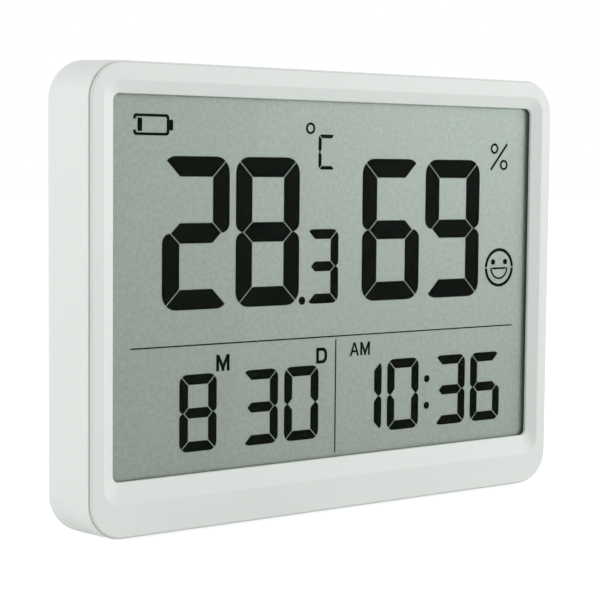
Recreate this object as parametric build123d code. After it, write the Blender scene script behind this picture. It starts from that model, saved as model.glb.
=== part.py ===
from build123d import *
from math import atan2, degrees, hypot
import os

# A thermometer hygrometer clock with a large liquid crystal display, in millimetres.
# X runs to the right seen from the front, Y from the front to the back, Z upwards.
# The origin is at the middle of the case's underside. Heights below start at the front's lower
# edge, and every piece is raised by the case's flare at the end, so that the foot stands on Z = 0.

# Case: the outline shared by the bezel and the rear cover, which flares towards the back
case_width = 120.0
case_height = 90.2
case_corner_radius = 7.25
case_flare = 0.7
case_wall = 1.8
back_wall = 1.8
back_edge_radius = 3.1
foot_width = 96.0
foot_front = 6.0
least_corner_radius = 0.5
overrun = 1.0
near = 0.01

# Front bezel: flat border, bevelled frame, window lip and the skirt that goes into the cover
side_border = 3.0
top_border = 3.6
bottom_border = 6.7
side_bevel = 2.6
top_bevel = 2.5
bottom_bevel = 4.1
bevel_depth = 1.0
bevel_corner_radius = 3.4
bevel_round = 0.8
window_corner_radius = 1.4
lip_thickness = 0.5
lip_round = 0.3
rim_inset = 0.32
rim_thickness = 0.5
rim_round = 0.3
bezel_fit = 0.15
skirt_thickness = 1.2
skirt_reach = 3.0
snap_length = 8.0
snap_rise = 0.45
snap_width = 0.9
snap_setback = 1.6
snap_clearance = 0.1
top_snap_shares = (-0.25, 0.0, 0.25)
side_snap_shares = (0.35, 0.7)

# Seam: the shadow groove between bezel and rear cover
seam_gap = 0.22
seam_depth = 1.0
seam_round = 0.15

# Display stack, from the gasket backwards
gasket_thickness = 0.1
gasket_setback = 0.1
polariser_thickness = 0.12
polariser_margin = 0.1
glass_thickness = 0.3
glass_gap = 1.0
glass_clearance = 0.2
glass_corner_radius = 0.4
ledge_height = 2.4
segment_thickness = 0.05
segment_gap = 0.2
reflector_thickness = 0.2

# Circuit board, its posts and screws
board_side_gap = 15.0
board_thickness = 1.2
board_gap = 0.35
board_bay_gap = 1.5
board_corner_radius = 1.0
post_height = 4.7
post_radius = 1.9
post_gap = 0.6
post_glass_gap = 0.45
post_bore_floor = 0.8
board_screw_shares = (-0.4, 0.0, 0.4)
board_screw_head_radius = 1.9
board_screw_head_height = 1.2
board_screw_radius = 1.0
board_screw_length = 4.4
screw_fit = 0.03
board_hole_radius = 1.15
drive_width = 0.45
drive_depth = 0.6
drive_span_share = 0.6

# Case screws, the bezel posts they bite in and the bosses that they pass through
case_screw_gap = 1.6
case_screw_head_radius = 2.1
case_screw_head_height = 1.5
case_screw_radius = 1.15
case_screw_length = 9.0
case_post_radius = 2.2
case_post_height = 7.5
boss_radius = 3.2
boss_gap = 0.1
counterbore_radius = 2.45
counterbore_depth = 3.0

# Rubber contact strip
strip_thickness = 1.8
strip_ledge_gap = 0.2
strip_end_gap = 4.0

# Chips on the board
drop_radius = 6.5
drop_height = 1.5
drop_round = 1.1
drop_place_shares = (0.12, 0.62)
crystal_radius = 1.0
crystal_length = 6.0
crystal_lead_radius = 0.2
crystal_lead_reach = 1.6
crystal_lead_pitch = 0.8
crystal_place_shares = (-0.12, 0.45)
resistor_size = (1.6, 0.8, 0.45)
resistor_place_shares = ((-0.2, 0.75), (-0.2, 0.65), (-0.2, 0.55),
                         (0.24, 0.3), (0.28, 0.3), (0.32, 0.3))
capacitor_size = (2.0, 1.25, 0.8)
capacitor_place_shares = ((-0.05, 0.8), (-0.12, 0.6), (0.25, 0.75), (-0.28, 0.85))

# Humidity sensor and thermistor, behind the vents
sensor_width = 10.0
sensor_height = 5.0
sensor_thickness = 0.8
sensor_standoff = 2.5
sensor_pin_radius = 0.3
sensor_pin_pitch = 5.0
sensor_place_shares = (-0.43, 0.36)
thermistor_radius = 1.3
thermistor_standoff = 4.0
thermistor_lead_radius = 0.25
thermistor_lead_pitch = 1.4
thermistor_place_shares = (-0.43, 0.66)

# Tact switches and the button caps that press them
switch_size = 6.0
switch_height = 3.2
switch_plate_thickness = 0.3
switch_corner_radius = 0.5
plunger_radius = 1.75
plunger_rise = 0.8
plunger_sink = 1.0
plunger_clearance = 0.08
plunger_floor_gap = 0.25
button_names = ("set", "up", "down")
button_edge = 5.0
button_travel = 0.35
button_radius = 2.3
button_clearance = 0.2
button_flange_radius = 2.95
button_flange_thickness = 1.0
button_flange_gap = 0.15
button_stem_radius = 1.6
button_round = 0.3
button_sink = 0.1
button_mark_depth = 0.25
button_mark_width = 0.5
button_mark_span = 2.2
button_dish_margin = 1.2
button_dish_depth = 0.5

# AAA cells and the bay that holds them
cell_diameter = 10.5
cell_length = 44.5
cell_nub_length = 0.8
cell_nub_radius = 1.9
cell_edge_round = 0.5
cell_gap = 0.15
cell_side_gap = 0.35
cell_spacing = 0.6
display_bay_gap = 0.51
bay_floor = 1.5
bay_wall = 1.2

# Cell contacts of nickel-plated strip, and the leads to the board
contact_thickness = 0.35
contact_width = 8.0
contact_gap = 0.05
leaf_reach = 2.8
leaf_thickness = 0.3
leaf_width = 4.0
terminal_width = 3.0
terminal_reach = 2.0
terminal_clearance = 0.1
lead_radius = 0.6
lead_bend = 1.5
lead_first_run = 3.0
lead_spacing = 2.6
lead_pad_drop = 4.0

# Battery door
door_thickness = 1.3
door_gap = 0.27
door_seat_gap = 0.1
door_clearance = 0.2
door_overlap = 2.2
door_corner_radius = 2.0
door_edge_round = 0.25
ledge_thickness = 1.6
ledge_wall = 1.2
tongue_width = 7.0
tongue_thickness = 0.9
tongue_reach = 2.2
tongue_root = 2.6
tongue_drop = 0.2
tongue_clearance = 0.25
tongue_spread_share = 0.62
latch_width = 11.0
latch_length = 6.0
latch_slit = 0.8
grip_count = 3
grip_pitch = 1.5
grip_width = 0.7
grip_depth = 0.35
grip_edge_gap = 1.4
scoop_width = 14.0
scoop_height = 2.8
scoop_depth = 1.1

# Keyhole for a wall screw
keyhole_top_margin = 8.0
keyhole_rise = 6.2
keyhole_entry_radius = 4.25
keyhole_slot_width = 4.0
keyhole_pocket_depth = 3.8
keyhole_pocket_gap = 0.4
keyhole_wall = 1.0
keyhole_door_gap = 0.8

# Stand leg and its recess in the back
stand_width = 34.0
stand_thickness = 2.0
stand_flush_gap = 0.2
stand_side_gap = 0.3
stand_floor_gap = 0.2
stand_corner_radius = 3.0
stand_notch_radius = 5.0
stand_door_gap = 0.6
stand_tip_gap = 0.3
stand_grip_gap = 7.0
recess_bottom = 3.4
recess_wall = 1.2
barrel_radius = 1.7
barrel_gap = 0.3
stub_radius = 1.0
stub_length = 1.4
stub_clearance = 0.05
stub_end_gap = 0.2

# Vents over the sensors
vent_count = 6
vent_pitch = 3.2
vent_width = 1.2
vent_length = 11.0

# Display marks, as shares of the window's width (across) and height (up, and for round marks)
large_digit_shares = (0.145, 0.406)
decimal_digit_shares = (0.0759, 0.2082)
small_digit_shares = (0.081, 0.2073)
unit_letter_shares = (0.0391, 0.0973)
digit_stroke_share = 0.133
unit_stroke_share = 0.105
digit_corner_share = 0.205
digit_waist_share = 0.12
temperature_places_shares = (("2", 0.1785, 0.6399), ("8", 0.3378, 0.6399))
decimal_places_shares = (("3", 0.4662, 0.541),)
humidity_places_shares = (("6", 0.6347, 0.6399), ("9", 0.7955, 0.6399))
date_places_shares = (("8", 0.1845, 0.1608), ("3", 0.3232, 0.1608), ("0", 0.4189, 0.1608))
time_places_shares = (("1", 0.5751, 0.1608), ("0", 0.6708, 0.1608),
                      ("3", 0.7952, 0.1608), ("6", 0.8914, 0.1608))
unit_places_shares = (("C", 0.4737, 0.8592),)
decimal_dot_shares = (0.418, 0.4471, 0.0115)
colon_dots_shares = ((0.7332, 0.1988, 0.0107), (0.7332, 0.1195, 0.0107))
rings_shares = ((0.4347, 0.9241, 0.0162), (0.908, 0.878, 0.0158), (0.9345, 0.8293, 0.0158))
ring_stroke_share = 0.0064
slash_shares = ((0.8983, 0.814), (0.9435, 0.8925))
slash_stroke_share = 0.0066
letters_shares = (("M", 0.2384, 0.2901, 0.0293, 0.0444, 0.2), ("D", 0.4665, 0.2901, 0.0259, 0.0444, 0.2),
                  ("A", 0.5465, 0.3016, 0.0222, 0.038, 0.17), ("M", 0.5731, 0.3016, 0.0236, 0.038, 0.17))
letter_bowl_share = 0.9
letter_bar_share = 0.8
letter_bar_drop_share = 0.17
divider_stroke_share = 0.0036
across_divider_shares = (0.041, 0.9648, 0.3422)
upright_divider_shares = (0.5006, 0.0111, 0.3328)
battery_mark_shares = (0.0831, 0.9228, 0.0741, 0.0555)
battery_stroke_share = 0.13
battery_corner_share = 0.16
battery_opening_share = 0.5
battery_bar_shares = (-0.32, 0.124, 0.62)
battery_nub_shares = (0.11, 0.5)
face_shares = (0.9261, 0.5196, 0.0585)
face_stroke_share = 0.155
face_split_share = 0.06
eye_shares = (0.43, 0.29, 0.146)
mouth_line_shares = (0.475, -0.044, 0.095)
smile_shares = (0.615, 0.095)

# Depths behind the front face that follow from the sizes above
bezel_back = bevel_depth + lip_thickness
polariser_depth = bezel_back + gasket_thickness
front_glass_depth = polariser_depth + polariser_thickness
segment_depth = front_glass_depth + glass_thickness
rear_glass_depth = segment_depth + segment_thickness
reflector_depth = rear_glass_depth + glass_thickness
bay_front_depth = reflector_depth + reflector_thickness + display_bay_gap
bay_floor_depth = bay_front_depth + bay_floor
cell_depth = bay_floor_depth + cell_gap + cell_diameter / 2
door_depth = cell_depth + cell_diameter / 2 + door_gap
case_depth = door_depth + door_thickness
inner_back = case_depth - back_wall
board_depth = bezel_back + post_height
board_back = board_depth + board_thickness
switch_top = board_back + switch_height + switch_plate_thickness
plunger_end = switch_top + plunger_rise
ledge_depth = door_depth - door_seat_gap - ledge_thickness
tongue_depth = inner_back - tongue_drop - tongue_thickness
case_post_end = bezel_back + case_post_height
screw_seat_depth = case_depth - counterbore_depth
stand_back = case_depth - stand_flush_gap
stand_front = stand_back - stand_thickness
stand_floor = stand_front - stand_floor_gap
barrel_depth = stand_back - barrel_radius
barrel_floor = barrel_depth - barrel_radius - barrel_gap
pocket_floor = inner_back - keyhole_pocket_depth

# Places in the front view that follow from the sizes above
skirt_inset = case_wall + bezel_fit
skirt_inner = skirt_inset + skirt_thickness
bevel_width = case_width - 2 * side_border
bevel_height = case_height - top_border - bottom_border
window_width = bevel_width - 2 * side_bevel
window_height = bevel_height - top_bevel - bottom_bevel
window_bottom = bottom_border + bottom_bevel
window_z = window_bottom + window_height / 2
post_z = skirt_inner + post_gap + post_radius
glass_width = case_width - 2 * (skirt_inner + glass_gap)
glass_top = case_height - skirt_inner - glass_gap
glass_bottom = post_z + post_radius + post_glass_gap
rear_glass_bottom = glass_bottom + ledge_height
keyhole_slot_z = case_height - keyhole_top_margin
keyhole_z = keyhole_slot_z - keyhole_rise
pocket_width = 2 * (keyhole_entry_radius + keyhole_pocket_gap)
pocket_bottom = keyhole_z - keyhole_entry_radius - keyhole_pocket_gap
pocket_top = keyhole_slot_z + keyhole_entry_radius
bay_length = cell_length + 2 * contact_thickness + leaf_reach + 2 * contact_gap
bay_height = 2 * cell_diameter + cell_spacing + 2 * cell_side_gap
door_width = bay_length + 2 * door_overlap
door_height = bay_height + 2 * door_overlap
door_top = pocket_bottom - keyhole_wall - keyhole_door_gap
door_z = door_top - door_height / 2
door_bottom = door_top - door_height
upper_cell_z = door_z + (cell_diameter + cell_spacing) / 2
lower_cell_z = door_z - (cell_diameter + cell_spacing) / 2
recess_top = door_bottom - scoop_height - recess_wall - stand_door_gap
hinge_z = recess_top - barrel_gap - barrel_radius
stand_tip = recess_bottom + stand_tip_gap
recess_width = stand_width + 2 * stand_side_gap
board_width = case_width - 2 * board_side_gap
board_bottom = skirt_inner + board_gap
board_top = door_z - bay_height / 2 - bay_wall - board_bay_gap
board_height = board_top - board_bottom
board_z = board_bottom + board_height / 2
case_screw_x = board_width / 2 + case_screw_gap + boss_radius
button_x = board_width / 2 - button_edge
button_room_bottom = post_z + board_screw_head_radius
button_room_height = board_top - button_room_bottom
button_gap = (button_room_height - len(button_names) * switch_size) / (len(button_names) + 1)
button_pitch = switch_size + button_gap
button_z = button_room_bottom + button_room_height / 2
button_zs = [button_z + step * button_pitch for step in (1, 0, -1)]

BACKWARD = (0, 1, 0)


def level(depth):
    """The Y of a plane this far behind the front face."""
    return depth - case_depth / 2


def facing(depth):
    """A drawing plane in X and Z, this far behind the front face."""
    return Plane.XZ.offset(-level(depth))


def slab(sketch, depth, thickness):
    """A shape drawn in X and Z, made solid backwards from this depth."""
    return extrude(facing(depth) * sketch, thickness, dir=BACKWARD)


def bar(sketch, start, length):
    """A shape drawn in Y and Z, made solid along X from this start."""
    return extrude(Plane.YZ.offset(start) * sketch, length)


def edges_at(part, depth):
    """The edges that lie wholly at this depth."""
    y = level(depth)
    boxes = [(edge, edge.bounding_box()) for edge in part.edges()]
    return [edge for edge, box in boxes if abs(box.min.Y - y) < near and abs(box.max.Y - y) < near]


def rounded(width, height, radius, x=0, z=0):
    """A rounded rectangle round a centre."""
    return Pos(x, z) * RectangleRounded(width, height, radius)


def block(width, height, x=0, z=0):
    """A plain rectangle round a centre."""
    return Pos(x, z) * Rectangle(width, height)


def disc(radius, x=0, z=0):
    """A circle round a centre."""
    return Pos(x, z) * Circle(radius)


def outline(inset=0):
    """The case's rounded outline seen from the front, drawn in by an inset."""
    radius = max(case_corner_radius - inset, least_corner_radius)
    return rounded(case_width - 2 * inset, case_height - 2 * inset, radius, z=case_height / 2)


def window(growth=0):
    """The window's outline, grown on every side."""
    return rounded(window_width + 2 * growth, window_height + 2 * growth, window_corner_radius, z=window_z)


def snaps(clearance):
    """The snap ribs along the skirt's top and sides, or with a clearance their pockets."""
    depth = bezel_back + snap_setback - clearance
    length = snap_length + 2 * clearance
    rise = 2 * (snap_rise + clearance)
    edge = case_height - skirt_inset
    marks = [block(length, rise, x=share * case_width, z=edge) for share in top_snap_shares]
    for share in side_snap_shares:
        for side in (-1, 1):
            x = side * (case_width / 2 - skirt_inset)
            marks.append(block(rise, length, x=x, z=share * case_height))
    return [slab(mark, depth, snap_width + 2 * clearance) for mark in marks]


def front_bezel():
    """White moulded frame: rim over the cover's wall, bevel down to the window, skirt and posts."""
    rim = slab(outline(rim_inset), 0, rim_thickness)
    rim = fillet(edges_at(rim, 0), rim_round)
    core = slab(outline(skirt_inset), rim_thickness, bezel_back - rim_thickness)
    skirt = slab(outline(skirt_inset) - outline(skirt_inner), bezel_back, skirt_reach)
    bezel = rim + core + skirt
    bevel_z = bottom_border + bevel_height / 2
    frame = rounded(bevel_width, bevel_height, bevel_corner_radius, z=bevel_z)
    bezel -= loft([facing(0) * frame, facing(bevel_depth) * window()], ruled=True)
    bezel -= slab(window(), bevel_depth, lip_thickness + overrun)
    bezel = fillet(edges_at(bezel, bevel_depth), lip_round)
    top_edges = [edge for edge in edges_at(bezel, 0)
                 if abs(edge.center().X) < bevel_width / 2 + near
                 and abs(edge.center().Z - bevel_z) < bevel_height / 2 + near]
    bezel = fillet(top_edges, bevel_round)
    bezel -= slab(pane(glass_bottom, -glass_clearance), bezel_back, skirt_reach)
    bezel += snaps(0)
    for share in board_screw_shares:
        post = slab(disc(post_radius, share * board_width, post_z), bezel_back, post_height)
        bore = disc(board_screw_radius + screw_fit, share * board_width, post_z)
        bezel += post - slab(bore, bezel_back + post_bore_floor, post_height)
    for side in (-1, 1):
        post = slab(disc(case_post_radius, side * case_screw_x, post_z), bezel_back, case_post_height)
        bore = disc(case_screw_radius + screw_fit, side * case_screw_x, post_z)
        bezel += post - slab(bore, bezel_back + post_bore_floor, case_post_height)
    return bezel


def cover_blocks():
    """What stands up inside the rear cover: bay, door ledge, keyhole pocket, stand recess, bosses."""
    bay = block(bay_length + 2 * bay_wall, bay_height + 2 * bay_wall, z=door_z)
    ledge = block(door_width + 2 * ledge_wall, door_height + 2 * ledge_wall, z=door_z)
    pocket_height = pocket_top - pocket_bottom + 2 * keyhole_wall
    pocket_z = (pocket_top + pocket_bottom) / 2
    pocket = block(pocket_width + 2 * keyhole_wall, pocket_height, z=pocket_z)
    recess_height = recess_top - recess_bottom + 2 * recess_wall
    recess_z = (recess_top + recess_bottom) / 2
    cheek = stub_length + stub_end_gap + recess_wall
    recess = block(recess_width + 2 * cheek, recess_height, z=recess_z)
    knuckle_height = 2 * (barrel_radius + barrel_gap + recess_wall)
    knuckle = block(recess_width + 2 * cheek, knuckle_height, z=hinge_z)
    blocks = [slab(bay, bay_front_depth, inner_back - bay_front_depth),
              slab(ledge, ledge_depth, inner_back - ledge_depth),
              slab(pocket, pocket_floor - keyhole_wall, inner_back - pocket_floor + keyhole_wall),
              slab(recess, stand_floor - recess_wall, inner_back - stand_floor + recess_wall),
              slab(knuckle, barrel_floor - recess_wall, inner_back - barrel_floor + recess_wall)]
    boss_depth = case_post_end + boss_gap
    for side in (-1, 1):
        boss = disc(boss_radius, side * case_screw_x, post_z)
        blocks.append(slab(boss, boss_depth, inner_back - boss_depth))
    return blocks


def battery_cuts():
    """The open bay, the door's rebate, the slots for its tongues, the scoop and the terminal slots."""
    bay = block(bay_length, bay_height, z=door_z)
    rebate = rounded(door_width + 2 * door_clearance, door_height + 2 * door_clearance,
                     door_corner_radius + door_clearance, z=door_z)
    scoop = block(scoop_width, scoop_height + door_clearance, z=door_bottom - scoop_height / 2)
    seat = door_depth - door_seat_gap
    cuts = [slab(bay, bay_floor_depth, case_depth),
            slab(rebate, seat, case_depth),
            slab(scoop, case_depth - scoop_depth, case_depth)]
    swing = hypot(case_depth - tongue_depth, tongue_reach) + tongue_clearance
    slot_bottom = door_top - hypot(case_depth - tongue_depth, tongue_root) - tongue_clearance
    slot_top = door_top + tongue_reach + tongue_clearance
    for side in (-1, 1):
        x = side * tongue_spread_share * door_width / 2
        width = tongue_width + 2 * tongue_clearance
        slot = block(width, slot_top - slot_bottom, x=x, z=(slot_top + slot_bottom) / 2)
        mouth = block(width, door_top - slot_bottom, x=x, z=(door_top + slot_bottom) / 2)
        cuts.append(slab(slot, case_depth - swing, inner_back - case_depth + swing))
        cuts.append(slab(mouth, case_depth - swing, case_depth))
    height = contact_thickness + 2 * terminal_clearance
    for z in (upper_cell_z, lower_cell_z):
        slit = block(bay_wall + 2 * near, terminal_width + 2 * terminal_clearance,
                     x=-(bay_length + bay_wall) / 2, z=z)
        cuts.append(slab(slit, cell_depth - height / 2, height))
    return cuts


def back_cuts():
    """Keyhole, stand recess with its pin holes, button holes, vents and screw holes."""
    pocket = block(pocket_width, pocket_top - pocket_bottom, z=(pocket_top + pocket_bottom) / 2)
    slot = block(keyhole_slot_width, keyhole_rise, z=(keyhole_z + keyhole_slot_z) / 2)
    keyhole = disc(keyhole_entry_radius, z=keyhole_z) + slot + disc(keyhole_slot_width / 2, z=keyhole_slot_z)
    recess = block(recess_width, recess_top - recess_bottom, z=(recess_top + recess_bottom) / 2)
    knuckle = block(recess_width, 2 * (barrel_radius + barrel_gap), z=hinge_z)
    cuts = [slab(pocket, pocket_floor, inner_back - pocket_floor),
            slab(keyhole, pocket_floor, case_depth),
            slab(recess, stand_floor, case_depth),
            slab(knuckle, barrel_floor, case_depth)]
    hole = Pos(level(barrel_depth), hinge_z) * Circle(stub_radius + stub_clearance)
    reach = recess_width + 2 * (stub_length + stub_end_gap)
    cuts.append(bar(hole, -reach / 2, reach))
    dish_width = 2 * (button_radius + button_dish_margin)
    dish = rounded(dish_width, dish_width + 2 * button_pitch, button_radius, x=button_x, z=button_z)
    cuts.append(slab(dish, case_depth - button_dish_depth, case_depth))
    for z in button_zs:
        hole = disc(button_radius + button_clearance, button_x, z)
        cuts.append(slab(hole, inner_back - overrun, case_depth))
    for step in range(vent_count):
        z = board_z + (step - (vent_count - 1) / 2) * vent_pitch
        vent = Pos(-button_x, z) * SlotOverall(vent_length, vent_width)
        cuts.append(slab(vent, inner_back - overrun, case_depth))
    for side in (-1, 1):
        x = side * case_screw_x
        cuts.append(slab(disc(case_screw_radius + screw_fit, x, post_z), case_post_end, case_depth))
        cuts.append(slab(disc(counterbore_radius, x, post_z), screw_seat_depth, case_depth))
    return cuts


def rear_cover():
    """White moulded tub that carries the cells, the stand and the buttons."""
    front = rim_thickness + seam_gap
    shell = loft([facing(front) * outline(), facing(case_depth) * outline(-case_flare)], ruled=True)
    shell = fillet(edges_at(shell, case_depth), back_edge_radius)
    shell = fillet(edges_at(shell, front), seam_round)
    foot = block(foot_width, case_wall + case_flare, z=(case_wall - case_flare) / 2)
    shell += slab(foot, foot_front, case_depth - back_edge_radius - foot_front)
    shell += slab(outline(seam_depth), rim_thickness, seam_gap)
    shell -= slab(outline(case_wall), -overrun, inner_back + overrun)
    shell += cover_blocks()
    shell -= battery_cuts()
    shell -= back_cuts()
    return shell - snaps(snap_clearance)


def battery_door():
    """White moulded door: two tongues under the cover's edge at the top, a sprung latch below."""
    door = slab(rounded(door_width, door_height, door_corner_radius, z=door_z), door_depth, door_thickness)
    door = fillet(edges_at(door, case_depth), door_edge_round)
    for side in (-1, 1):
        x = side * tongue_spread_share * door_width / 2
        root = block(tongue_width, tongue_root, x=x, z=door_top - tongue_root / 2)
        tongue = block(tongue_width, tongue_root + tongue_reach, x=x,
                       z=door_top + (tongue_reach - tongue_root) / 2)
        door += slab(root, tongue_depth, door_depth - tongue_depth + near)
        door += slab(tongue, tongue_depth, tongue_thickness)
        slit = block(latch_slit, latch_length, x=side * latch_width / 2, z=door_bottom + latch_length / 2)
        door -= slab(slit, door_depth - overrun, door_thickness + 2 * overrun)
    for step in range(grip_count):
        z = door_bottom + grip_edge_gap + step * grip_pitch
        groove = block(latch_width - 2 * grip_edge_gap, grip_width, z=z)
        door -= slab(groove, case_depth - grip_depth, case_depth)
    return door


def stand_leg():
    """White moulded leg that lies flush in the back and turns on two stub pins."""
    blade = block(stand_thickness, hinge_z - stand_tip,
                  x=level(stand_front) + stand_thickness / 2, z=(hinge_z + stand_tip) / 2)
    barrel = disc(barrel_radius, level(barrel_depth), hinge_z)
    leg = bar(blade + barrel, -stand_width / 2, stand_width)
    tip_corners = [edge for edge in leg.edges().filter_by(Axis.Y) if edge.center().Z < stand_tip + near]
    leg = fillet(tip_corners, stand_corner_radius)
    leg -= slab(disc(stand_notch_radius, z=stand_tip), stand_front - overrun, case_depth)
    for step in range(grip_count):
        z = stand_tip + stand_grip_gap + step * grip_pitch
        leg -= slab(block(stand_width / 2, grip_width, z=z), stand_back - grip_depth, case_depth)
    pin = disc(stub_radius, level(barrel_depth), hinge_z)
    reach = stand_width + 2 * (stand_side_gap + stub_length)
    return leg + bar(pin, -reach / 2, reach)


def button_mark(name):
    """The sign sunk in a cap: a ring to set, a plus to count up, a minus to count down."""
    across = block(button_mark_span, button_mark_width)
    if name == "set":
        return disc(button_mark_span / 2) - disc(button_mark_span / 2 - button_mark_width)
    if name == "up":
        return across + block(button_mark_width, button_mark_span)
    return across


def button_cap(name, z):
    """White cap: head through the back, flange behind it, stem down to the switch."""
    flange_back = inner_back - button_flange_gap
    flange_front = flange_back - button_flange_thickness
    head_back = case_depth - button_sink
    cap = slab(disc(button_radius), flange_front, head_back - flange_front)
    cap = fillet(edges_at(cap, head_back), button_round)
    cap += slab(disc(button_flange_radius), flange_front, button_flange_thickness)
    cap += slab(disc(button_stem_radius), plunger_end, flange_front - plunger_end)
    cap -= slab(button_mark(name), head_back - button_mark_depth, case_depth)
    return Pos(button_x, 0, z) * cap


def switch_plunger(z):
    """Black plunger of a tact switch."""
    return slab(disc(plunger_radius, button_x, z), switch_top - plunger_sink, plunger_sink + plunger_rise)


def switch_bodies():
    """Black bodies of the tact switches, each with a well for its plunger."""
    well_depth = switch_top - plunger_sink - button_travel - plunger_floor_gap
    bodies = []
    for z in button_zs:
        square = rounded(switch_size, switch_size, switch_corner_radius, button_x, z)
        well = disc(plunger_radius + plunger_clearance, button_x, z)
        bodies.append(slab(square, board_back, switch_height) - slab(well, well_depth, switch_height))
    return bodies


def switch_plates():
    """Steel cover plates of the tact switches."""
    plates = []
    for z in button_zs:
        plate = rounded(switch_size, switch_size, switch_corner_radius, button_x, z)
        plate -= disc(plunger_radius + plunger_clearance, button_x, z)
        plates.append(slab(plate, board_back + switch_height, switch_plate_thickness))
    return plates


def screw(x, seat_depth, head_radius, head_height, radius, length):
    """A pan-head screw with a cross drive, driven forwards from its seat."""
    head = slab(disc(head_radius, x, post_z), seat_depth, head_height)
    top = seat_depth + head_height
    head = fillet(edges_at(head, top), head_height / 2)
    span = 2 * head_radius * drive_span_share
    cross = block(span, drive_width, x, post_z) + block(drive_width, span, x, post_z)
    head -= slab(cross, top - drive_depth, head_height)
    return head + slab(disc(radius, x, post_z), seat_depth - length, length)


def case_screws():
    """Steel screws that hold the cover to the bezel, sunk in the back."""
    return [screw(side * case_screw_x, screw_seat_depth, case_screw_head_radius,
                  case_screw_head_height, case_screw_radius, case_screw_length) for side in (-1, 1)]


def board_screws():
    """Steel screws that hold the board to the bezel's posts."""
    return [screw(share * board_width, board_back, board_screw_head_radius, board_screw_head_height,
                  board_screw_radius, board_screw_length) for share in board_screw_shares]


def main_board():
    """Glass-fibre circuit board with its screw holes."""
    board = rounded(board_width, board_height, board_corner_radius, z=board_z)
    for share in board_screw_shares:
        board -= disc(board_hole_radius, share * board_width, post_z)
    return slab(board, board_depth, board_thickness)


def on_board(shares):
    """A place on the board, from shares of its width and height."""
    return shares[0] * board_width, board_bottom + shares[1] * board_height


def resin_drop():
    """Black resin drop over the controller chip."""
    drop = slab(disc(drop_radius, *on_board(drop_place_shares)), board_back, drop_height)
    return fillet(edges_at(drop, board_back + drop_height), drop_round)


def watch_crystal():
    """Small steel can that lies on the board, with two wire leads."""
    x, z = on_board(crystal_place_shares)
    y = level(board_back + crystal_radius)
    crystal = bar(Pos(y, z) * Circle(crystal_radius), x, crystal_length)
    for side in (-1, 1):
        lead = Pos(y, z + side * crystal_lead_pitch / 2) * Circle(crystal_lead_radius)
        crystal += bar(lead, x - crystal_lead_reach, crystal_lead_reach)
    return crystal


def chips(size, places_shares):
    """Small chip parts that stand on the board's back."""
    length, width, height = size
    marks = [block(length, width, *on_board(shares)) for shares in places_shares]
    return [slab(mark, board_back, height) for mark in marks]


def humidity_sensor():
    """White comb sensor plate on two pins."""
    x, z = on_board(sensor_place_shares)
    sensor = slab(block(sensor_width, sensor_height, x, z), board_back + sensor_standoff, sensor_thickness)
    for side in (-1, 1):
        pin = disc(sensor_pin_radius, x + side * sensor_pin_pitch / 2, z)
        sensor += slab(pin, board_back, sensor_standoff)
    return sensor


def thermistor():
    """Epoxy bead on two wire leads."""
    x, z = on_board(thermistor_place_shares)
    bead = Pos(x, level(board_back + thermistor_standoff), z) * Sphere(thermistor_radius)
    for side in (-1, 1):
        lead = disc(thermistor_lead_radius, x + side * thermistor_lead_pitch / 2, z)
        bead += slab(lead, board_back, thermistor_standoff)
    return bead


def contact_strip():
    """Rubber strip of conducting layers, squeezed between the display's ledge and the board."""
    z = glass_bottom + strip_ledge_gap + strip_thickness / 2
    strip = block(board_width - 2 * strip_end_gap, strip_thickness, z=z)
    return slab(strip, segment_depth, board_depth - segment_depth)


def pane(bottom, margin=0):
    """A display layer's outline from this bottom edge to the top of the glass."""
    height = glass_top - bottom - 2 * margin
    return rounded(glass_width - 2 * margin, height, glass_corner_radius, z=bottom + margin + height / 2)


def display_gasket():
    """Pale foam tape between the bezel's lip and the display."""
    return slab(pane(glass_bottom) - window(gasket_setback), bezel_back, gasket_thickness)


def front_polariser():
    """Matt clear film on the front glass."""
    return slab(pane(rear_glass_bottom, polariser_margin), polariser_depth, polariser_thickness)


def front_glass():
    """Front glass, longer at the bottom, where its ledge carries the contacts."""
    return slab(pane(glass_bottom), front_glass_depth, glass_thickness)


def rear_glass():
    """Rear glass of the display."""
    return slab(pane(rear_glass_bottom), rear_glass_depth, glass_thickness)


def rear_reflector():
    """Grey-green reflecting film on the rear glass."""
    return slab(pane(rear_glass_bottom, polariser_margin), reflector_depth, reflector_thickness)


def on_window(x_share, z_share):
    """A place in the window, from shares of its width and height."""
    return (x_share - 1 / 2) * window_width, window_bottom + z_share * window_height


LIT_SEGMENTS = {"0": "abcdef", "1": "bc", "2": "abdeg", "3": "abcdg", "6": "acdefg", "8": "abcdefg",
                "9": "abcdfg", "C": "adef"}


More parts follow.
